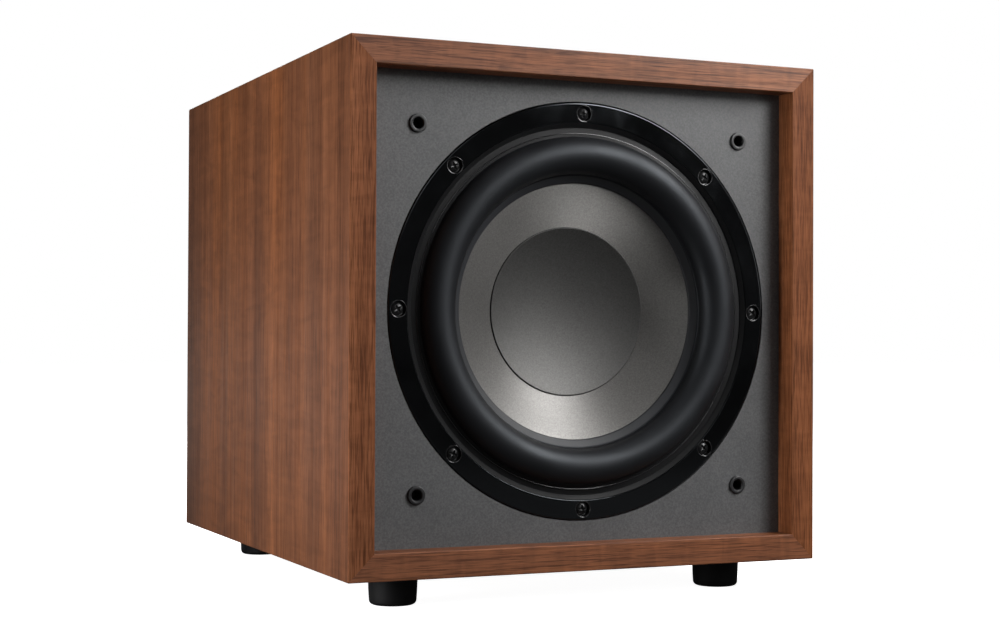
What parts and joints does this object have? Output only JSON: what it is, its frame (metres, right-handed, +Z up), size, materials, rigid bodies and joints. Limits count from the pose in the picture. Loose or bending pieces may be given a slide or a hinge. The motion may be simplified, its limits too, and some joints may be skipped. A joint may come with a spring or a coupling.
{
  "type": "powered subwoofer",
  "caption": "Powered subwoofer: mitred wood-wrapped sealed box on rubber feet, metal cone driver in a recessed baffle, plate amplifier at the rear.",
  "frame": {"origin": "on the floor under the middle of the whole object, where the feet stand", "axes": "+Z up, front baffle faces -Y, +X to the right when seen from the front"},
  "size_m": [0.33, 0.411, 0.351],
  "materials": {
    "walnut_wrap": "satin vinyl wood-grain wrap over board, straight grain",
    "baffle_finish": "satin charcoal paint on board",
    "birch_ply": "raw plywood",
    "pine": "raw softwood",
    "wadding": "bonded polyester wadding",
    "foot_rubber": "matt moulded rubber",
    "zinc_steel": "zinc plated",
    "socket_plastic": "moulded",
    "gasket_foam": "closed-cell foam",
    "basket_paint": "powder coated",
    "gloss_trim": "high gloss",
    "surround_rubber": "satin butyl rubber",
    "cone_metal": "fine spun, satin",
    "former_kapton": "film",
    "copper_wire": "enamelled winding",
    "spider_cloth": "resin-dipped cloth",
    "ferrite": "ground ceramic ferrite",
    "fibre_board": "laminated board",
    "copper_braid": "braided",
    "lead_pvc": "insulation",
    "black_steel": "black oxide",
    "amp_paint": "fine textured powder coat",
    "sink_aluminium": "black anodised",
    "circuit_board": "solder resist",
    "transformer_tape": "wound film tape",
    "capacitor_sleeve": "shrink sleeve",
    "transistor_case": "moulded",
    "knob_plastic": "moulded",
    "led_lens": "clear tinted lens",
    "jack_plastic": "moulded",
    "jack_metal": "plated",
    "jack_core_plastic": "moulded",
    "inlet_plastic": "moulded",
    "fuse_glass": "glass tube with plated caps",
    "rocker_plastic": "moulded"
  },
  "bodies": {
    "cabinet": {"top_panel": "walnut_wrap", "bottom_panel": "walnut_wrap", "left_panel": "walnut_wrap", "right_panel": "walnut_wrap", "front_baffle": "baffle_finish", "rear_panel": "walnut_wrap", "window_brace": "birch_ply", "baffle_battens": "pine", "rear_battens": "pine", "damping_wadding": "wadding", "foot_front_left": "foot_rubber", "foot_front_right": "foot_rubber", "foot_rear_left": "foot_rubber", "foot_rear_right": "foot_rubber", "foot_screws": "zinc_steel", "grille_sockets": "socket_plastic", "driver_gasket": "gasket_foam", "driver_basket": "basket_paint", "trim_ring": "gloss_trim", "surround": "surround_rubber", "spider": "spider_cloth", "top_plate": "zinc_steel", "magnets": "ferrite", "pole_yoke": "zinc_steel", "terminal_strip": "fibre_board", "tinsel_leads": "copper_braid", "speaker_leads": "lead_pvc", "driver_screws": "black_steel", "amp_gasket": "gasket_foam", "amp_plate": "amp_paint", "heat_sink": "sink_aluminium", "amp_screws": "black_steel", "main_board": "circuit_board", "transformer": "transformer_tape", "transformer_bolt": "zinc_steel", "reservoir_capacitors": "capacitor_sleeve", "output_transistors": "transistor_case", "control_board": "circuit_board", "control_pots": "zinc_steel", "slide_switches": "zinc_steel", "status_led": "led_lens", "jack_block": "jack_plastic", "line_jacks": "jack_metal", "jack_cores": "jack_core_plastic", "mains_inlet": "inlet_plastic", "mains_contacts": "jack_metal", "power_rocker_frame": "inlet_plastic"},
    "cone_assembly": {"cone": "cone_metal", "dust_cap": "cone_metal", "voice_coil_former": "former_kapton", "voice_coil_winding": "copper_wire"},
    "volume_control": {"volume_shaft": "zinc_steel", "volume_knob": "knob_plastic"},
    "crossover_control": {"crossover_shaft": "zinc_steel", "crossover_knob": "knob_plastic"},
    "phase_button": {"phase_slider": "knob_plastic"},
    "mode_button": {"power_mode_slider": "knob_plastic"},
    "fuse_tray": {"fuse_drawer": "inlet_plastic", "fuse": "fuse_glass"},
    "mains_switch": {"power_rocker": "rocker_plastic"}
  },
  "joints": [
    {"name": "cone_travel", "type": "slide", "parent": "cabinet", "child": "cone_assembly", "axis": [0, 1, 0], "range_m": [-0.01, 0.01], "stiffness_N_per_m": 4200, "deforming": ["surround", "spider", "tinsel_leads"]},
    {"name": "volume_turn", "type": "hinge", "parent": "cabinet", "child": "volume_control", "pos_m": [0.058, 0.1865, 0.27], "axis": [0, 1, 0], "range_deg": [-150, 150]},
    {"name": "crossover_turn", "type": "hinge", "parent": "cabinet", "child": "crossover_control", "pos_m": [0.01, 0.1865, 0.27], "axis": [0, 1, 0], "range_deg": [-150, 150]},
    {"name": "phase_slide", "type": "slide", "parent": "cabinet", "child": "phase_button", "axis": [1, 0, 0], "range_m": [0, 0.004]},
    {"name": "power_mode_slide", "type": "slide", "parent": "cabinet", "child": "mode_button", "axis": [1, 0, 0], "range_m": [-0.004, 0.004]},
    {"name": "fuse_drawer_slide", "type": "slide", "parent": "cabinet", "child": "fuse_tray", "axis": [0, 1, 0], "range_m": [0, 0.014]},
    {"name": "power_rocker_tip", "type": "hinge", "parent": "cabinet", "child": "mains_switch", "pos_m": [0.012, 0.1875, 0.092], "axis": [1, 0, 0], "range_deg": [-14, 0]}
  ]
}
